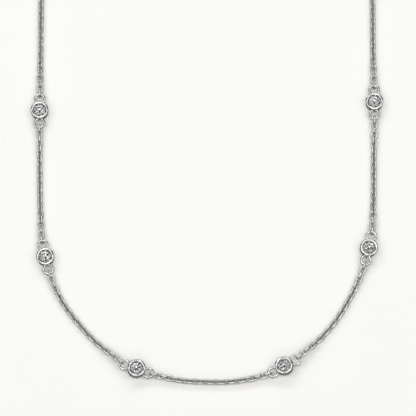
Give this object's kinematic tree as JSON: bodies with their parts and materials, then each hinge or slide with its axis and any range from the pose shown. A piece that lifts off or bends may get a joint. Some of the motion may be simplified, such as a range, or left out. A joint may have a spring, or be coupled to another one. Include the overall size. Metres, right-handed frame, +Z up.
{
  "type": "station necklace",
  "caption": "Fine cable-chain necklace lying in a long loop, with small bezel-set round stones spaced along its front and a ring clasp at the back.",
  "frame": {"origin": "under the middle of the loop as it lies on a surface", "axes": "+Z up from the surface, +Y towards the clasp at the back of the neck, +X to the right seen from above with the clasp at the top"},
  "size_m": [0.0709, 0.1932, 0.003],
  "materials": {
    "setting_metal": "polished white gold",
    "chain_metal": "polished white gold",
    "clasp_metal": "polished white gold",
    "stone": "colourless faceted stone"
  },
  "bodies": {
    "root": {"setting_1": "setting_metal", "setting_2": "setting_metal", "setting_3": "setting_metal", "setting_4": "setting_metal", "setting_5": "setting_metal", "setting_6": "setting_metal", "stone_1": "stone", "stone_2": "stone", "stone_3": "stone", "stone_4": "stone", "stone_5": "stone", "stone_6": "stone", "chain_1": "chain_metal", "chain_2": "chain_metal", "chain_3": "chain_metal", "chain_4": "chain_metal", "chain_5": "chain_metal", "side_chain_left": "chain_metal", "side_chain_right": "chain_metal", "back_chain_left": "chain_metal", "back_chain_right": "chain_metal", "clasp": "clasp_metal", "end_ring": "clasp_metal"}
  },
  "joints": []
}
